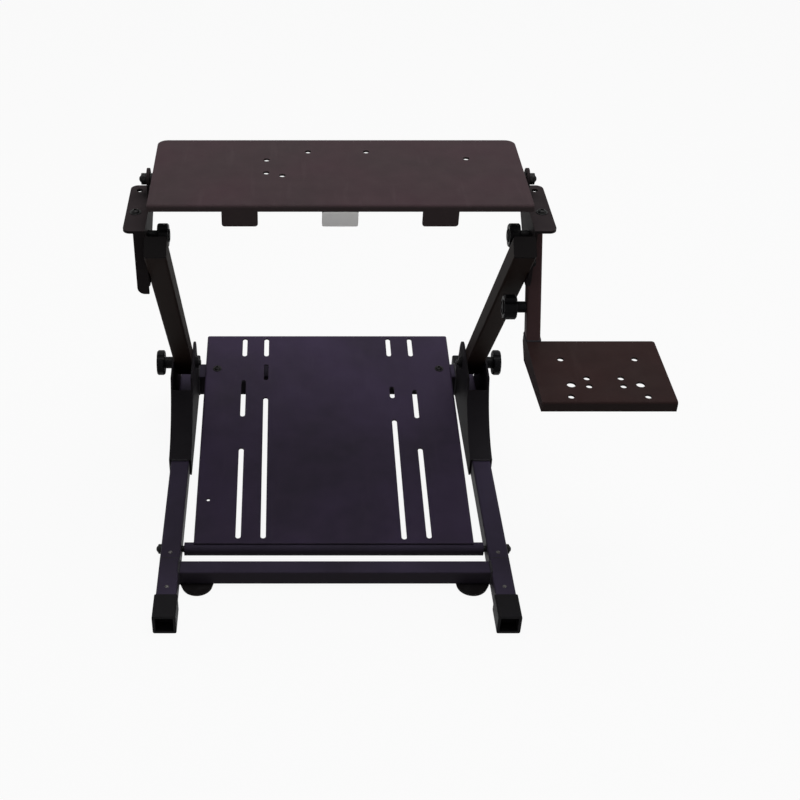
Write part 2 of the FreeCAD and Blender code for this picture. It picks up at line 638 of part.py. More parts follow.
def pedal_deck():
    """The slotted deck, made level about its hinge line and then tilted, and the bar that it turns on."""
    half, top = "dim.deck_width / 2", "dim.hinge_bar + dim.sheet"
    low, inside = f"{top} - dim.deck_side", f"{half} - dim.sheet"
    body = doc.addObject("PartDesign::Body", "deck")
    section = sketch_on(body, "XZ_Plane")
    outline(section, [
        (f"-{half}", low), (f"-{half}", f"{top} - dim.bend"), (f"-{half} + dim.bend", top),
        (f"{half} - dim.bend", top), (half, f"{top} - dim.bend"), (half, low), (inside, low),
        (inside, f"{top} - dim.bend"), (f"{half} - dim.bend", "dim.hinge_bar"),
        (f"-{half} + dim.bend", "dim.hinge_bar"), (f"-({inside})", f"{top} - dim.bend"),
        (f"-({inside})", low),
    ], {1: ("dim.bend", 1), 3: ("dim.bend", 1),
        7: ("dim.bend - dim.sheet", -1), 9: ("dim.bend - dim.sheet", -1)})
    pad(body, section, "dim.deck_length", reverse=True)
    room = sketch_on(body, "YZ_Plane")
    clear = "2 * dim.hinge_bar"
    outline(room, [(f"-{clear}", "dim.hinge_bar"), (f"-{clear}", f"-{clear}"), ("dim.hinge_bar", f"-{clear}"),
                   (clear, "dim.hinge_bar")])
    pocket(body, room)
    end = "dim.slot / 2"
    for x, runs in SLOTS.items():
        column = sketch_on(body, "XY_Plane")
        left, right = f"{x} - {end}", f"{x} + {end}"
        for near, far in runs:
            outline(column, [
                (left, f"{near} + {end}"), (x, near), (right, f"{near} + {end}"),
                (right, f"{far} - {end}"), (x, far), (left, f"{far} - {end}"),
            ], {side: (end, -1) for side in (0, 1, 3, 4)})
        pocket(body, column)
    hole = sketch_on(body, "XY_Plane")
    circle(hole, "-dim.deck_hole_x", "dim.deck_hole_y", "dim.deck_hole")
    pocket(body, hole)
    place(body, "0", "dim.hinge_y", "dim.hinge_z", X_AXIS, "dim.deck_tilt")
    keep(body, "pedal_deck")
    end = f"({INNER} - dim.hinge_side)"
    bores = []
    for side in SIDES.values():
        start = mirrored_x(side, f"{end} - dim.hinge_bore", "dim.hinge_bore")
        at = (start, "dim.hinge_y", "dim.hinge_z")
        bores.append(rod("dim.hinge_pin + dim.running", "dim.hinge_bore", at))
    bar = rod("dim.hinge_bar", f"2 * {end}", (f"-{end}", "dim.hinge_y", "dim.hinge_z"))
    keep(cut(bar, bores), "deck_hinge_bar")


def deck_bolts():
    """The bolts through the floor tubes that the deck's bar turns on."""
    shank = "dim.tube + dim.hinge_side + dim.hinge_bore - dim.slip"
    for name, side in SIDES.items():
        body = turned(steps([(shank, "dim.hinge_pin"), ("dim.hinge_pin", "dim.hinge_head")]))
        set_out(body, name, side, f"{HALF} - ({shank})", "dim.hinge_y", "dim.hinge_z", "deck_bolt")


def deck_risers():
    """Folded angles on the rear cross tube that the deck rests on."""
    def under(y):
        """The height of the deck's underside at a distance from the front, less a hair of room."""
        return (f"dim.hinge_z + ({y} - dim.hinge_y) * tan(dim.deck_tilt * 1 deg)"
                f" + dim.hinge_bar / cos(dim.deck_tilt * 1 deg) - dim.slip")
    front = "dim.rear_bar_y - dim.riser_run"
    inner = "dim.rear_bar_y - dim.sheet"
    for name, side in SIDES.items():
        body = doc.addObject("PartDesign::Body", "riser")
        profile = sketch_on(body, "YZ_Plane")
        outline(profile, [
            (front, under(front)), (front, f"{under(front)} - dim.sheet"),
            (inner, f"{under(inner)} - dim.sheet"), (inner, "dim.riser_foot"),
            ("dim.rear_bar_y", "dim.riser_foot"), ("dim.rear_bar_y", under("dim.rear_bar_y")),
        ])
        pad(body, profile, "dim.riser_width")
        place(body, mirrored_x(side, "dim.riser_x - dim.riser_width / 2", "dim.riser_width"), "0", "0")
        keep(body, f"{name}_deck_riser")


def check():
    """Stops if an object failed or a piece has no sound shape."""
    doc.recompute()
    for item in doc.Objects:
        if {"Invalid", "Error"} & set(item.State):
            raise RuntimeError(f"{item.Name} ({item.Label}) failed: {item.State}")
    for item in pieces:
        if item.Shape.isNull() or not item.Shape.isValid():
            raise RuntimeError(f"{item.Label} has no valid shape")
        if len(item.Shape.Solids) != 1:
            raise RuntimeError(f"{item.Label} has {len(item.Shape.Solids)} solids")


floor_tubes()
end_caps()
cross_tubes()
floor_pads()
fold_brackets()
fold_knobs()
deck_bolts()
deck_risers()
pedal_deck()
arms()
arm_plugs()
wheel_brackets()
bracket_grips()
tilt_bolts()
wheel_plate()
shifter()
check()
os.makedirs("parts", exist_ok=True)
for item in pieces:
    item.Shape.exportStep(f"parts/{item.Label}.step")
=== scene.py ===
"""The looks of a folding stand for a racing wheel: black paint, plastic caps and knobs, bolts and welds."""
import math

import bpy
import numpy as np
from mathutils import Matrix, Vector


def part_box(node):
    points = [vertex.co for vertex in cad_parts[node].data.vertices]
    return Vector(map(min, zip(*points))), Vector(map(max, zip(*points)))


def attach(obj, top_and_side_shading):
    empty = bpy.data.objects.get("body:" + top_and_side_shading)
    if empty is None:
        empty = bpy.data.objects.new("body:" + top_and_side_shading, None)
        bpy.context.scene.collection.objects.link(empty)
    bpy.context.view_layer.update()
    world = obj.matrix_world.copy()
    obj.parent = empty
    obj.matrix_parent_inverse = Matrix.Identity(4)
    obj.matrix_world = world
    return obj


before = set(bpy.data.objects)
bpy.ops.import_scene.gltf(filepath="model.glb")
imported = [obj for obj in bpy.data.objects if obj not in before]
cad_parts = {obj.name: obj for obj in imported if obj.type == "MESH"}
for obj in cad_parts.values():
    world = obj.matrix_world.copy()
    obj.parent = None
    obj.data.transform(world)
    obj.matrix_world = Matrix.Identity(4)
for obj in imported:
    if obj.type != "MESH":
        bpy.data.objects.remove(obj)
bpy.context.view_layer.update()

TURN = 2 * math.pi
MM = 0.001
SIDES = {"left": -1, "right": 1}
ACROSS, BACK, UP = np.eye(3)
WHITE = (1.0, 1.0, 1.0, 1.0)

# Places on the stand, in millimetres: across from its middle, back from its front and up from the floor.
STAND_ORIGIN = np.array([76, 320, 0])
BRACKET_FACE_X = 264
BRACKET_BOLTS = {"left": [(252.5, 461.6), (268, 441.1)], "right": [(252.5, 461.6)]}
SEAM_Y = 121
TOE_X, TOE_Y, TOE_Z = 245, 345, 33.2
POST_FOOT_X, POST_FOOT_Y, POST_FOOT_Z = 275, 237, 350
LUG_TOP = 518

# Distances from a node that carries the piece, in millimetres.
LUG_BOLT_OUT, LUG_BOLT_BACK = 277, -46
DECK_SCREW_OUT, DECK_SCREW_BACK, DECK_SCREW_UP = 191.5, 389, 13
RIVETS_BACK = (-41, 30)

# Sizes, in millimetres.
TUBE_CORNER = 3
POST_HALF = 10
TOE_HALF = 14
TUBE_BEAD, FINE_BEAD, BEAD_RIPPLE = 2.0, 1.6, 3.0
LUG_BOLT_SIZE, DECK_SCREW_SIZE, TILT_HEAD_SIZE, DECK_HEAD_SIZE = 6.5, 6.0, 4.8, 5.4
BRACKET_BOLT_SIZE, FOLD_NUT_SIZE, RIVET_SIZE = 5.0, 4.5, 3.2
GRIP_FACE_SIZE, SHIFTER_FACE_SIZE = 9.0, 10.5
TAB_HALF_WIDTH, TAB_HALF_HEIGHT, TAB_RAISED = 23.9, 10.8, 0.2
SEAM_HALF = 15.15

# The deck's tilt, the toe beads' up direction, the stretch of the post's slanting cut, the powers of the
# tab's outline, and the upward share from which an axis counts as upright.
DECK_TILT = math.radians(6.9)
TOE_LEAN = (0, -0.7, 0.7)
POST_CUT_STRETCH = 1.16
TAB_SIDE_POWER, TAB_TOP_POWER = 0.10, 0.14
NEARLY_UPRIGHT = 0.9

# Profiles of turned pieces, in shares of the piece's size: radius, height and how six-sided the ring is.
HEX_HEAD = [(1.55, 0, 0), (1.55, 0.16, 0), (1.47, 0.22, 0), (0.98, 0.22, 1), (1.0, 0.26, 1), (1.0, 0.78, 1),
            (0.97, 0.92, 0.4), (0.85, 0.95, 0), (0.35, 0.95, 0)]
KNOB_DISH = [(1.0, 0, 0), (1.0, 0.10, 0), (0.94, 0.16, 0), (0.86, 0.16, 0), (0.80, 0.06, 0), (0.45, 0.04, 0),
             (0.40, 0.10, 0), (0.30, 0.13, 0), (0.08, 0.14, 0)]
SCREW_WASHER = [(1.25, 0, 0), (1.25, 0.10, 0), (1.17, 0.16, 0), (0.90, 0.16, 0)]

# Shares of the size of a screw, for its dome and socket, of a rivet and of a weld bead.
DOME_REACH, DOME_FLAT, DOME_BASE, DOME_HEIGHT = 0.86, 0.04, 0.16, 0.5
SOCKET_LIP, SOCKET_MOUTH, SOCKET_FLOOR, SOCKET_RISE, SOCKET_DEPTH = 0.42, 0.34, 0.33, 0.03, 0.28
RIVET_DOME, RIVET_RIM, RIVET_EYE = 0.32, 0.06, 0.12
BEAD_LEAST, BEAD_SWELL, BEAD_TIP = 0.80, 0.20, 0.02

# Sections of flat pieces: shrink of the outline and millimetres forward, or millimetres along and shrink.
TAB_RIM = [(1.0, 0.0), (1.0, 0.35), (0.985, 0.55), (0.96, 0.6)]
SEAM_SECTION = [(0.7, 0.97), (0.6, 1.0), (-0.6, 1.0), (-0.7, 0.97)]

# How finely pieces are divided: points round them, points along a path and steps of a dome.
RING_POINTS, RIVET_POINTS, TAB_POINTS, BEAD_POINTS = 48, 32, 96, 12
TUBE_PATH_POINTS, FINE_PATH_POINTS, TOE_PATH_POINTS = 240, 160, 90
DOME_STEPS, RIVET_STEPS = 8, 7

# The angles, in degrees, below which faces are shaded as one, and the samples of a rounded corner.
SMOOTH_ANGLE, BEAD_SMOOTH_ANGLE = 35, 60
BEVEL_SAMPLES = 6

# Paint: shares of its tint, of rubs and of corners (wear and a painted highlight), of dust, what each
# pattern adds to its roughness, and its relief.
CLOUD_DARK, CLOUD_PALE = 0.88, 1.12
RUB_SHARE, EDGE_SHARE, DUST_SHARE = 0.06, 0.35, 0.06
CLOUD_ROUGH, PEEL_ROUGH, DUST_ROUGH, ROUGH_MIDDLE = 0.10, 0.05, 0.06, 0.10
PEEL_RELIEF, CLOUD_RELIEF = 0.7, 0.3

# Plastic: shares of its tint, and what each pattern adds to its roughness.
PATCH_DARK, PATCH_PALE = 0.85, 1.2
PATCH_ROUGH, GRAIN_ROUGH = 0.14, 0.08

# The photograph's camera, in pixels, degrees and millimetres on the stand.
IMAGE_PIXELS, FOCAL_PIXELS, CENTRE_PIXEL = 800, 1273, 288.8
SENSOR_WIDTH = 36.0
CAMERA_PITCH = 37.18
CAMERA_X, CAMERA_Y, CAMERA_Z = -68, -1246, 1363

# The studio: lamps as place in metres, disc size in metres and watts, all aimed at one point of the stand.
LAMP_AIM = (0.0, 0.0, 0.3)
LAMPS = {"overhead": ((0.2, 0.3, 3.2), 2.6, 78), "front_left": ((-2.0, -2.2, 1.8), 1.6, 4),
         "right": ((2.4, -0.6, 1.4), 1.4, 6)}

# The world's strength for light that bounces and for what is seen, and the floor's half width in metres,
# colour and share of plain white.
WORLD_FILL, WORLD_WHITENESS = 0.17, 0.937
FLOOR_HALF = 60.0
FLOOR_GREY = (0.55, 0.55, 0.55, 1.0)
FLOOR_WHITENESS = 0.93


# Shader helpers

class Value:
    """A shader value: arithmetic on it adds Math nodes to its sheet."""

    def __init__(self, sheet, socket):
        self.sheet, self.socket = sheet, socket

    def _math(self, operation, first, second):
        """A Math node on two values or numbers."""
        return self.sheet.node("ShaderNodeMath", {"operation": operation}, {0: first, 1: second})

    def __add__(self, other):
        return self._math("ADD", self, other)

    def __rsub__(self, other):
        return self._math("SUBTRACT", other, self)

    def __mul__(self, other):
        return self._math("MULTIPLY", self, other)

    def clamped(self):
        """The value held between 0 and 1."""
        return self.sheet.node("ShaderNodeClamp", {}, {"Value": self})

    def ramp(self, low, high):
        """0 below low, 1 above high, and a straight line between."""
        return self.sheet.node("ShaderNodeMapRange", {"clamp": True},
                               {"Value": self, "From Min": low, "From Max": high})


class Sheet:
    """A node tree that takes nodes by type, settings and sockets."""

    def __init__(self, tree):
        self.tree = tree

    def node(self, kind, settings=None, sockets=None, output=0):
        """Adds a node with its settings, fills its sockets with numbers or links, and gives one output."""
        item = self.tree.nodes.new(kind)
        for key, value in (settings or {}).items():
            setattr(item, key, value)
        for key, value in (sockets or {}).items():
            self.feed(item.inputs[key], value)
        return Value(self, item.outputs[output])

    def feed(self, socket, value):
        """Links a value to a socket, or sets the socket to a number or a colour."""
        if isinstance(value, Value):
            self.tree.links.new(value.socket, socket)
        else:
            socket.default_value = value

    def seen(self):
        """1 for rays from the camera, from reflections and through glass, and 0 for light that bounces."""
        kinds = ("Is Camera Ray", "Is Glossy Ray", "Is Transmission Ray")
        direct, glossy, through = (self.node("ShaderNodeLightPath", output=kind) for kind in kinds)
        return (direct + glossy + through).clamped()


class Finish(Sheet):
    """One material's node sheet, with its shader."""

    def __init__(self, name):
        self.material = bpy.data.materials.new(name)
        self.material.use_nodes = True
        super().__init__(self.material.node_tree)
        self.shader = self.tree.nodes["Principled BSDF"]

    def set(self, **sockets):
        """Fills sockets of the shader; an underscore stands for a space in a socket's name."""
        for key, value in sockets.items():
            self.feed(self.shader.inputs[key.replace("_", " ")], value)

    def noise(self, scale, detail=3.0, stretch=None):
        """Smooth noise over the object's own coordinates, 0 to 1; stretch scales it along each axis."""
        where = self.node("ShaderNodeTexCoord", output="Object")
        if stretch:
            where = self.node("ShaderNodeMapping", {}, {"Vector": where, "Scale": stretch})
        return self.node("ShaderNodeTexNoise", {}, {"Vector": where, "Scale": scale, "Detail": detail})

    def mix(self, factor, first, second):
        """A colour between two colours."""
        return self.node("ShaderNodeMix", {"data_type": "RGBA"}, {0: factor, 6: first, 7: second}, output=2)

    def upward(self):
        """The upward share of the surface's direction on the piece as it stands at rest."""
        normal = self.node("ShaderNodeTexCoord", output="Normal")
        return self.node("ShaderNodeSeparateXYZ", {}, {"Vector": normal}, output="Z")

    def rounded(self, radius):
        """The surface's direction with its corners rounded by that radius in metres."""
        return self.node("ShaderNodeBevel", {"samples": BEVEL_SAMPLES}, {"Radius": radius})

    def corner(self, rounded):
        """How far the rounded direction turns from the flat one: 1 less the cosine between them."""
        flat = self.node("ShaderNodeNewGeometry", output="Normal")
        return 1 - self.node("ShaderNodeVectorMath", {"operation": "DOT_PRODUCT"}, {0: rounded, 1: flat},
                             output="Value")

    def bump(self, height, depth, strength, under=None):
        """A relief of that depth in metres, on the direction that lies under it."""
        sockets = {"Height": height, "Distance": depth, "Strength": strength}
        if under:
            sockets["Normal"] = under
        return self.node("ShaderNodeBump", {}, sockets)


# Finishes

def shaded(colour, share=1.0):
    """A colour with each channel times the share, as a socket takes it."""
    red, green, blue = (share * channel for channel in colour)
    return (red, green, blue, 1.0)


def between(first, second):
    """The colour half way between two."""
    return [(a + b) / 2 for a, b in zip(first, second)]


def satin_paint(name, top, side, wear_dust_and_highlight, rough=0.48, gloss=0.04):
    """Powder coat: one colour on top faces, where it clouds at random, and one on the sides, the two painted
    as light and shade for how tops and sides are lit.

    It has orange peel, a few rubs, corners paler partly from wear and partly as a painted highlight, and a
    little dust on its top faces.
    """
    finish = Finish(name)
    cloud = finish.noise(scale=9.0, detail=4.0)
    peel = finish.noise(scale=1100.0, detail=2.0)
    rubs = finish.noise(scale=70.0, detail=6.0, stretch=(1.0, 0.12, 1.0)).ramp(low=0.60, high=0.78)
    dusty = finish.noise(scale=38.0, detail=5.0).ramp(low=0.35, high=0.75)
    settled = finish.upward().ramp(low=0.55, high=1.0) * dusty
    rounded = finish.rounded(radius=0.0007)
    # Corners are paler partly from wear and partly as a painted highlight along the edges.
    scuff_and_highlight_patches = finish.noise(scale=55.0, detail=4.0).ramp(low=0.30, high=0.70)
    worn_and_highlit_corners = finish.corner(rounded).ramp(low=0.01, high=0.15) * scuff_and_highlight_patches
    dark, pale = shaded(between(top, side), CLOUD_DARK), shaded(top, CLOUD_PALE)
    clouded = finish.mix(cloud.ramp(low=0.30, high=0.70), dark, pale)
    # Painted light and shade: faces turned up take the top colour and the rest the side colour.
    top_and_side_shading = finish.mix(finish.upward().ramp(low=0.20, high=0.90), shaded(side), clouded)
    # Mixes in the rubs, which are wear, and the corners, which are partly wear and partly a painted
    # highlight.
    worn = finish.mix((rubs * RUB_SHARE + worn_and_highlit_corners * EDGE_SHARE).clamped(), top_and_side_shading, shaded(wear_dust_and_highlight))
    roughness = cloud * CLOUD_ROUGH + peel * PEEL_ROUGH + settled * DUST_ROUGH + (rough - ROUGH_MIDDLE)
    relief = peel * PEEL_RELIEF + cloud * CLOUD_RELIEF
    finish.set(
        Specular_IOR_Level=gloss,
        Base_Color=finish.mix(settled * DUST_SHARE, worn, shaded(wear_dust_and_highlight)),
        Roughness=roughness.clamped(),
        Normal=finish.bump(relief, depth=0.00005, strength=0.5, under=rounded),
    )
    return finish.material


def moulded_plastic(name, colour, rough, gloss=0.05):
    """Black moulded plastic: fine spark-eroded grain with a soft sheen, and duller patches from handling."""
    finish = Finish(name)
    grain = finish.noise(scale=2400.0, detail=2.0)
    patch = finish.noise(scale=45.0, detail=3.0)
    roughness = patch * PATCH_ROUGH + grain * GRAIN_ROUGH + (rough - (PATCH_ROUGH + GRAIN_ROUGH) / 2)
    finish.set(
        Specular_IOR_Level=gloss,
        Base_Color=finish.mix(patch, shaded(colour, PATCH_DARK), shaded(colour, PATCH_PALE)),
        Roughness=roughness.clamped(),
        Normal=finish.bump(grain, depth=0.00006, strength=0.6, under=finish.rounded(radius=0.0008)),
    )
    return finish.material


def pad_rubber(name, dark, grey, scuff_share=0.4, rough=0.72, swing=0.15, gloss=0.04):
    """Matt rubber with a mealy surface, greyer where it has rubbed."""
    finish = Finish(name)
    grain = finish.noise(scale=700.0, detail=4.0)
    scuff = finish.noise(scale=60.0, detail=5.0).ramp(low=0.5, high=0.75)
    finish.set(
        Specular_IOR_Level=gloss,
        Base_Color=finish.mix(scuff * scuff_share, shaded(dark), shaded(grey)),
        Roughness=(grain * swing + rough).clamped(),
        Normal=finish.bump(grain, depth=0.00015, strength=0.6, under=finish.rounded(radius=0.001)),
    )
    return finish.material


def worn_steel(name, dark, worn, metal=0.25, metal_swing=0.3, rough=0.30, swing=0.25, gloss=0.08):
    """Blacked screws and rivets: dark metal with patches of lighter wear."""
    finish = Finish(name)
    wear = finish.noise(scale=420.0, detail=5.0)
    finish.set(
        Specular_IOR_Level=gloss,
        Base_Color=finish.mix(wear.ramp(low=0.45, high=0.8), shaded(dark), shaded(worn)),
        Metallic=wear.ramp(low=0.3, high=0.6) * metal_swing + metal,
        Roughness=(wear * swing + rough).clamped(),
        Normal=finish.bump(wear, depth=0.00004, strength=0.4, under=finish.rounded(radius=0.0004)),
    )
    return finish.material


def weld_paint(name, dark, pale, rough=0.30, swing=0.15, gloss=0.08):
    """Painted weld metal, a little glossier than the sheet beside it."""
    finish = Finish(name)
    ripple = finish.noise(scale=500.0, detail=3.0)
    finish.set(
        Specular_IOR_Level=gloss,
        Base_Color=finish.mix(ripple, shaded(dark), shaded(pale)),
        Roughness=(ripple * swing + rough).clamped(),
        Normal=finish.bump(ripple, depth=0.00012, strength=0.5),
    )
    return finish.material


def bare_plate(name, dull, bright, rough=0.38, swing=0.2):
    """Pale brushed sheet: fine lines along its length and a few duller clouds."""
    finish = Finish(name)
    lines = finish.noise(scale=900.0, detail=3.0, stretch=(0.05, 1.0, 1.0))
    cloud = finish.noise(scale=60.0, detail=3.0)
    finish.set(
        Base_Color=finish.mix(cloud, shaded(dull), shaded(bright)),
        Roughness=(lines * swing + rough).clamped(),
        Normal=finish.bump(lines, depth=0.00003, strength=0.4),
    )
    return finish.material


# Each paint's top and side colours are painted light and shade: each is as bright as the light made those
# faces.
TUBE = satin_paint("tube_black_paint", top=(0.0345, 0.0272, 0.0480), side=(0.0230, 0.0190, 0.0258),
                   wear_dust_and_highlight=(0.070, 0.065, 0.080), gloss=0.03)
# Painted shade: the arms are coloured far darker than the tubes, for the shade they stand in.
SHADE_DARKENED_ARM_PAINT = satin_paint("arm_black_paint", top=(0.0110, 0.0066, 0.0050), side=(0.0110, 0.0066, 0.0054),
                  wear_dust_and_highlight=(0.080, 0.060, 0.045), rough=0.66, gloss=0.025)
# Painted shade: the fold brackets are coloured nearly black, for the shade of the arms above them.
SHADE_DARKENED_FOLD_PAINT = satin_paint("fold_bracket_paint", top=(0.0165, 0.0152, 0.0176), side=(0.0160, 0.0145, 0.0168),
                   wear_dust_and_highlight=(0.060, 0.055, 0.060), rough=0.60, gloss=0.012)
LUG = satin_paint("wheel_bracket_paint", top=(0.0210, 0.0157, 0.0172), side=(0.0160, 0.0132, 0.0140),
                  wear_dust_and_highlight=(0.120, 0.100, 0.100), rough=0.58, gloss=0.02)
WHEEL = satin_paint("wheel_plate_paint", top=(0.0345, 0.0188, 0.0230), side=(0.0400, 0.0295, 0.0305),
                    wear_dust_and_highlight=(0.170, 0.130, 0.135))
SHIFTER = satin_paint("shifter_plate_paint", top=(0.0190, 0.0083, 0.0080), side=(0.0230, 0.0160, 0.0155),
                      wear_dust_and_highlight=(0.110, 0.080, 0.075), gloss=0.03)
# Painted light and sheen: the post is a lighter copy of the shifter plate's paint, for the light it catches.
SHEEN_LIGHTENED_POST_PAINT = satin_paint("shifter_post_paint", top=(0.0450, 0.0250, 0.0260), side=(0.0480, 0.0262, 0.0275),
                   wear_dust_and_highlight=(0.110, 0.080, 0.075), gloss=0.06)
DECK = satin_paint("pedal_deck_paint", top=(0.0350, 0.0246, 0.0490), side=(0.0270, 0.0222, 0.0310),
                   wear_dust_and_highlight=(0.100, 0.085, 0.120))
CAP = moulded_plastic("moulded_cap", colour=(0.0065, 0.006, 0.007), rough=0.54)
KNOB = moulded_plastic("moulded_knob", colour=(0.0055, 0.0053, 0.006), rough=0.44)
PLUG = moulded_plastic("moulded_plug", colour=(0.0060, 0.0052, 0.0054), rough=0.72, gloss=0.03)
PAD = pad_rubber("floor_pad_rubber", dark=(0.0065, 0.0055, 0.0060), grey=(0.020, 0.019, 0.020))
BOLT = worn_steel("blackened_steel", dark=(0.0070, 0.0070, 0.0075), worn=(0.035, 0.033, 0.032))
RIVET = worn_steel("rubbed_steel", dark=(0.045, 0.042, 0.043), worn=(0.200, 0.190, 0.185))
WELD = weld_paint("weld_paint", dark=(0.014, 0.013, 0.016), pale=(0.028, 0.026, 0.031))
BARE = bare_plate("bare_plate", dull=(0.80, 0.785, 0.78), bright=(0.90, 0.885, 0.88))

# A node takes the finish of the first word that is in its name, and the tubes' paint where none is.
NODE_FINISHES = {
    "_cap": CAP, "_plug": PLUG, "_pad": PAD, "knob": KNOB, "grip": KNOB, "_bolt": BOLT, "wheel_plate": WHEEL,
    "shifter_plate": SHIFTER, "shifter_post": SHEEN_LIGHTENED_POST_PAINT, "pedal_deck": DECK, "wheel_bracket": LUG,
    "fold_bracket": SHADE_DARKENED_FOLD_PAINT, "_arm": SHADE_DARKENED_ARM_PAINT,
}


# Surfaces

def stand(x, y, z):
    """Points of the frame, in metres, from places on the stand; numbers and arrays may be mixed."""
    return (np.stack(np.broadcast_arrays(x, y, z), -1) - STAND_ORIGIN) * MM


def middle(node):
    """The middle, lowest and highest corner of a node's box."""
    low, high = (np.array(corner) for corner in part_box(node))
    return (low + high) / 2, low, high


def end_face(node, sign):
    """The middle of a node's box, moved to its right face where sign is 1, and to its left face for -1."""
    centre, low, high = middle(node)
    return np.array([high[0] if sign > 0 else low[0], centre[1], centre[2]])


def add_surface(name, points, material, top_and_side_shading, ring=False, smooth=SMOOTH_ANGLE):
    """Puts a grid of points, rows by columns, into a mesh that rides on a body.

    Row follows row along the piece and the columns go round it. The last row joins the first where the
    piece is a ring, and otherwise each end row is filled by one flat face. Faces that meet at less than the
    smooth angle, in degrees, are shaded as one.
    """
    rows, columns = points.shape[:2]
    index = np.arange(rows * columns).reshape(rows, columns)
    here = index if ring else index[:-1]
    ahead = np.roll(index, -1, 0) if ring else index[1:]
    quads = np.stack([here, np.roll(here, -1, 1), np.roll(ahead, -1, 1), ahead], -1)
    faces = quads.reshape(-1, 4).tolist()
    if not ring:
        faces += [index[0, ::-1].tolist(), index[-1].tolist()]
    mesh = bpy.data.meshes.new(name)
    mesh.from_pydata(points.reshape(-1, 3).tolist(), [], faces)
    mesh.update()
    mesh.shade_smooth()
    mesh.set_sharp_from_angle(angle=math.radians(smooth))
    mesh.materials.append(material)
    piece = bpy.data.objects.new(name, mesh)
    bpy.context.scene.collection.objects.link(piece)
    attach(piece, top_and_side_shading)


def across(axis):
    """Two directions square to an axis and to each other, so that first x second = axis, and the axis."""
    axis = np.asarray(axis, float) / np.linalg.norm(axis)
    helper = UP if abs(axis[2]) < NEARLY_UPRIGHT else ACROSS
    first = np.cross(helper, axis)
    first /= np.linalg.norm(first)
    return first, np.cross(axis, first), axis


def six_sided(angle):
    """Radius of a hexagon whose flats are 1 from its middle: 1 over the cosine of the angle to a flat."""
    return 1 / np.cos((angle + math.pi / 6) % (math.pi / 3) - math.pi / 6)


def turned(name, centre, axis, profile, size, material, top_and_side_shading, columns=RING_POINTS):
    """A turned piece: each row is a ring round the axis, its radius and height the profile's times size.

    A point at angle a is at the radius times a mix of 1 and six_sided(a), in the share the profile gives.
    """
    radius, height, sided = np.array(profile, float).T
    angle = np.arange(columns) * TURN / columns
    reach = size * radius[:, None] * (1 + sided[:, None] * (six_sided(angle) - 1))
    first, second, along = across(axis)
    circle = np.cos(angle)[:, None] * first + np.sin(angle)[:, None] * second
    points = np.asarray(centre) + reach[..., None] * circle + size * height[:, None, None] * along
    add_surface(name, points, material, top_and_side_shading)


def button_bolt(name, centre, axis, size, top_and_side_shading):
    """A round-headed screw: a washer ring, a domed head (part of an ellipse) and a six-sided socket."""
    rise = np.linspace(0, math.pi / 2, DOME_STEPS)[1:-2]
    radius = DOME_REACH * np.cos(rise) + DOME_FLAT
    height = DOME_BASE + DOME_HEIGHT * np.sin(rise)
    dome = np.stack([radius, height, 0 * rise], -1)
    rim = height[-1] + SOCKET_RISE
    socket = [(SOCKET_LIP, rim, 0), (SOCKET_MOUTH, rim, 1), (SOCKET_FLOOR, rim - SOCKET_DEPTH, 1)]
    profile = np.concatenate([SCREW_WASHER, dome, socket])
    turned(name, centre, axis, profile, size * MM, BOLT, top_and_side_shading)


def hex_bolt(name, centre, axis, size, top_and_side_shading):
    """A six-sided head with its corners taken off by a cone, standing on a washer."""
    turned(name, centre, axis, HEX_HEAD, size * MM, BOLT, top_and_side_shading)


def rivet(name, centre, size, top_and_side_shading):
    """A flat dome: its height falls with the square of the distance from the middle, down to a low rim."""
    reach = np.linspace(1, RIVET_EYE, RIVET_STEPS)
    height = RIVET_DOME * (1 - reach ** 2) + RIVET_RIM * (reach < 1)
    profile = np.stack([reach, height, 0 * reach], -1)
    turned(name, centre, UP, profile, size * MM, RIVET, top_and_side_shading, columns=RIVET_POINTS)


def rounded_square(half, corner, count):
    """A loop round a square of that half width: a superellipse whose power follows from its corner radius.

    At each angle it reaches the half width over the power's root of |cosine| and |sine|, each raised to the
    power, added together.
    """
    power = math.log(0.5) / math.log(1 - (1 - math.sqrt(0.5)) * corner / half)
    angle = (np.arange(count) + 0.5) * TURN / count
    cosine, sine = np.cos(angle), np.sin(angle)
    reach = half * (np.abs(cosine) ** power + np.abs(sine) ** power) ** (-1 / power)
    return np.stack([reach * cosine, reach * sine], -1)


def weld_bead(name, path, up, top_and_side_shading, size, ring=True):
    """A bead along a path: a small circle carried along it, swelling with the sine of the distance.

    The circle lies in the plane of the up direction and the sideways one, which is square to up and the
    path. A bead that isn't a ring narrows to its ends with the square root of the distance from them.
    """
    ahead = np.roll(path, -1, 0) - path if ring else np.gradient(path, axis=0)
    step = np.linalg.norm(ahead, axis=1, keepdims=True)
    distance = np.concatenate([[0], np.cumsum(step[:-1, 0])])
    aside = np.cross(up, ahead / step)
    ripple = np.abs(np.sin(math.pi * distance / (BEAD_RIPPLE * MM)))
    swell = size * MM * (BEAD_LEAST + BEAD_SWELL * ripple)
    if not ring:
        to_end = np.minimum(distance, distance[-1] - distance)
        swell = swell * np.sqrt(np.clip(to_end / (size * MM), BEAD_TIP, 1))
    angle = np.arange(BEAD_POINTS) * TURN / BEAD_POINTS
    circle = np.cos(angle)[:, None] * aside[:, None] + np.sin(angle)[:, None] * np.asarray(up, float)
    points = path[:, None] + swell[:, None, None] * circle
    add_surface(name, points, WELD, top_and_side_shading, ring=ring, smooth=BEAD_SMOOTH_ANGLE)


# The pieces

def paint_nodes():
    """Gives each node of the frame its finish."""
    for name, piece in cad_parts.items():
        finish = next((paint for word, paint in NODE_FINISHES.items() if word in name), TUBE)
        piece.data.materials.clear()
        piece.data.materials.append(finish)


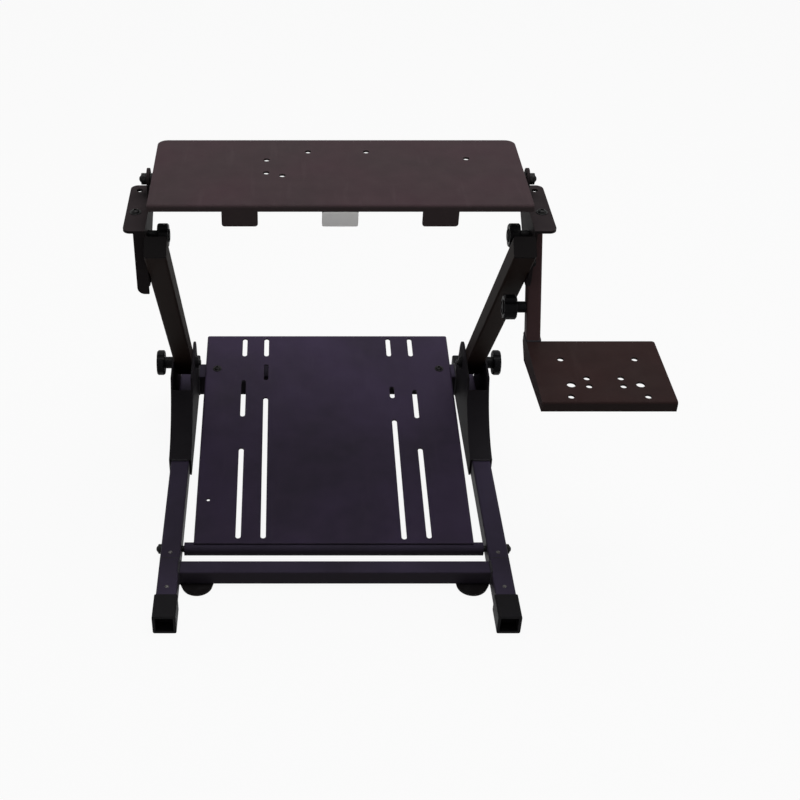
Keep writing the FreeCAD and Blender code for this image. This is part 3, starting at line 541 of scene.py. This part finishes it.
def cross_tube_welds():
    """Beads round both ends of both cross tubes."""
    for end in ("front", "rear"):
        tube = f"{end}_cross_tube"
        _, low, high = middle(tube)
        loop = rounded_square((high[2] - low[2]) / 2, TUBE_CORNER * MM, TUBE_PATH_POINTS)
        for side, sign in SIDES.items():
            flat = np.stack([0 * loop[:, 0], sign * loop[:, 0], loop[:, 1]], -1)
            path = end_face(tube, sign) + flat
            weld_bead(f"{side}_{end}_weld", path, sign * ACROSS, "base", TUBE_BEAD)


def toe_welds():
    """Short beads across the toes of the fold brackets, on top of the floor tubes."""
    along = np.linspace(-TOE_HALF, TOE_HALF, TOE_PATH_POINTS)
    for side, sign in SIDES.items():
        path = stand(sign * TOE_X + along, TOE_Y, TOE_Z)
        weld_bead(f"{side}_toe_weld", path, TOE_LEAN, "base", FINE_BEAD, ring=False)


def post_foot_weld():
    """A bead round the shifter post's foot, longer from front to rear because the post leans."""
    loop = rounded_square(POST_HALF, TUBE_CORNER, FINE_PATH_POINTS)
    path = stand(POST_FOOT_X + loop[:, 0], POST_FOOT_Y + POST_CUT_STRETCH * loop[:, 1], POST_FOOT_Z)
    weld_bead("post_foot_weld", path, UP, "upper_frame", FINE_BEAD)


def lug_bolts():
    """Round-headed screws on the lugs, in front of their rear holes."""
    plate = middle("wheel_plate")[0]
    for side, sign in SIDES.items():
        place = (plate[0] + sign * LUG_BOLT_OUT * MM, plate[1] + LUG_BOLT_BACK * MM, LUG_TOP * MM)
        button_bolt(f"{side}_lug_bolt", place, UP, LUG_BOLT_SIZE, "upper_frame")


def deck_screws():
    """Round-headed screws that hold the deck's rear to its risers, square to the deck."""
    along = np.array([0.0, math.cos(DECK_TILT), math.sin(DECK_TILT)])
    up = np.array([0.0, -math.sin(DECK_TILT), math.cos(DECK_TILT)])
    hinge = middle("deck_hinge_bar")[0]
    for side, sign in SIDES.items():
        out = sign * DECK_SCREW_OUT * ACROSS
        place = hinge + (out + DECK_SCREW_BACK * along + DECK_SCREW_UP * up) * MM
        button_bolt(f"{side}_deck_screw", place, up, DECK_SCREW_SIZE, "pedal_deck")


def tab_face():
    """The pale plain plate on the middle tab: a flat superellipse whose rim steps in towards its front.

    Its outline is the half width times the cosine to a small power and the half height times the sine to
    another, both with their signs kept.
    """
    centre, low, _ = middle("wheel_plate")
    angle = np.arange(TAB_POINTS) * TURN / TAB_POINTS
    cosine, sine = np.cos(angle), np.sin(angle)
    wide = TAB_HALF_WIDTH * np.sign(cosine) * np.abs(cosine) ** TAB_SIDE_POWER
    tall = TAB_HALF_HEIGHT * np.sign(sine) * np.abs(sine) ** TAB_TOP_POWER
    outline = np.stack([wide, 0 * angle, tall], -1)
    shrink, forward = np.array(TAB_RIM).T
    back = np.array([centre[0], low[1], low[2] + (TAB_HALF_HEIGHT + TAB_RAISED) * MM])
    layers = shrink[:, None, None] * outline - forward[:, None, None] * BACK
    add_surface("middle_tab_plate", back + layers * MM, BARE, "wheel_plate")


def floor_rivets():
    """Rivets on top of the floor tubes, before and behind the front cross tube."""
    front = middle("front_cross_tube")[0][1]
    for side in SIDES:
        centre, _, high = middle(f"{side}_floor_tube")
        for number, back in enumerate(RIVETS_BACK, 1):
            place = (centre[0], front + back * MM, high[2])
            rivet(f"{side}_floor_rivet_{number}", place, RIVET_SIZE, "base")


def bracket_bolts():
    """Six-sided heads on the wheel brackets' outer faces; the post leaves room for one on the right."""
    for side, sign in SIDES.items():
        for number, (y, z) in enumerate(BRACKET_BOLTS[side], 1):
            place = stand(sign * BRACKET_FACE_X, y, z)
            name = f"{side}_bracket_bolt_{number}"
            hex_bolt(name, place, sign * ACROSS, BRACKET_BOLT_SIZE, "upper_frame")


def fold_nuts():
    """Six-sided nuts on the inner ends of the fold pins."""
    for side, sign in SIDES.items():
        place = end_face(f"{side}_fold_knob", -sign)
        hex_bolt(f"{side}_fold_nut", place, -sign * ACROSS, FOLD_NUT_SIZE, "base")


def bolt_heads():
    """Domed heads with a socket on the outer ends of the tilt bolts and the deck bolts."""
    for side, sign in SIDES.items():
        tilt, deck = (end_face(f"{side}_{kind}_bolt", sign) for kind in ("tilt", "deck"))
        button_bolt(f"{side}_tilt_head", tilt, sign * ACROSS, TILT_HEAD_SIZE, "upper_frame")
        button_bolt(f"{side}_deck_head", deck, sign * ACROSS, DECK_HEAD_SIZE, "base")


def knob_faces():
    """Discs on the knobs' faces: a raised ring, a shallow dish and a small boss, all turned."""
    knobs = [(f"{side}_bracket_grip", -sign, GRIP_FACE_SIZE) for side, sign in SIDES.items()]
    knobs.append(("shifter_knob", -1, SHIFTER_FACE_SIZE))
    for name, sign, size in knobs:
        face = end_face(name, sign)
        turned(f"{name}_face", face, sign * ACROSS, KNOB_DISH, size * MM, KNOB, "upper_frame")


def tube_seams():
    """A fine joint line round each floor tube near its front: a low flat section carried round the tube."""
    loop = rounded_square(SEAM_HALF, TUBE_CORNER, FINE_PATH_POINTS)
    along, shrink = np.array(SEAM_SECTION).T
    flat = np.stack([loop[:, 0], 0 * loop[:, 0], loop[:, 1]], -1)
    layers = shrink[:, None, None] * flat + along[:, None, None] * BACK
    for side in SIDES:
        centre = middle(f"{side}_floor_tube")[0]
        place = np.array([centre[0], stand(0, SEAM_Y, 0)[1], centre[2]])
        add_surface(f"{side}_tube_seam", place + layers * MM, WELD, "base", ring=True)


# The set and the camera

def backdrop():
    """A pale floor: nearly white to the camera and in reflections, and it still takes the shadow."""
    finish = Finish("pale_floor")
    finish.set(Base_Color=FLOOR_GREY, Roughness=0.9, Specular_IOR_Level=0.0)
    glow = finish.node("ShaderNodeEmission", {}, {"Color": WHITE, "Strength": 1.0})
    lit = Value(finish, finish.shader.outputs[0])
    blend = finish.node("ShaderNodeMixShader", {}, {0: finish.seen() * FLOOR_WHITENESS, 1: lit, 2: glow})
    finish.feed(finish.tree.nodes["Material Output"].inputs["Surface"], blend)
    corners = FLOOR_HALF * np.array([(-1, -1, 0), (1, -1, 0), (1, 1, 0), (-1, 1, 0)])
    mesh = bpy.data.meshes.new("floor")
    mesh.from_pydata(corners.tolist(), [], [(0, 1, 2, 3)])
    mesh.materials.append(finish.material)
    floor = bpy.data.objects.new("floor", mesh)
    bpy.context.scene.collection.objects.link(floor)


def sky():
    """An even pale world: white to the camera and in reflections, and a plain fill for the stand."""
    world = bpy.data.worlds.new("studio")
    bpy.context.scene.world = world
    world.use_nodes = True
    sheet = Sheet(world.node_tree)
    fill = sheet.node("ShaderNodeBackground", {}, {"Color": WHITE, "Strength": WORLD_FILL})
    white = sheet.node("ShaderNodeBackground", {}, {"Color": WHITE, "Strength": WORLD_WHITENESS})
    blend = sheet.node("ShaderNodeMixShader", {}, {0: sheet.seen(), 1: fill, 2: white})
    sheet.feed(sheet.tree.nodes["World Output"].inputs["Surface"], blend)


def lamp(name, place, size, power):
    """A soft disc lamp at a place, turned to the stand."""
    light = bpy.data.lights.new(name, "AREA")
    light.shape = "DISK"
    light.size = size
    light.energy = power
    item = bpy.data.objects.new(name, light)
    item.location = place
    item.rotation_euler = (Vector(LAMP_AIM) - Vector(place)).to_track_quat("-Z", "Y").to_euler()
    bpy.context.scene.collection.objects.link(item)


def camera():
    """The photograph's view: looking down from a little left of the middle, framed by a sideways shift."""
    lens = bpy.data.cameras.new("camera")
    lens.sensor_width = SENSOR_WIDTH
    lens.lens = SENSOR_WIDTH * FOCAL_PIXELS / IMAGE_PIXELS
    lens.shift_x = (IMAGE_PIXELS / 2 - CENTRE_PIXEL) / IMAGE_PIXELS
    item = bpy.data.objects.new("camera", lens)
    item.location = stand(CAMERA_X, CAMERA_Y, CAMERA_Z)
    item.rotation_euler = (math.radians(90 - CAMERA_PITCH), 0, 0)
    bpy.context.scene.collection.objects.link(item)
    bpy.context.scene.camera = item


paint_nodes()
cross_tube_welds()
toe_welds()
post_foot_weld()
lug_bolts()
deck_screws()
tab_face()
floor_rivets()
bracket_bolts()
fold_nuts()
bolt_heads()
knob_faces()
tube_seams()

backdrop()
sky()
for lamp_name, (lamp_place, lamp_size, lamp_power) in LAMPS.items():
    lamp(lamp_name, lamp_place, lamp_size, lamp_power)
camera()
bpy.context.scene.view_settings.view_transform = "Standard"
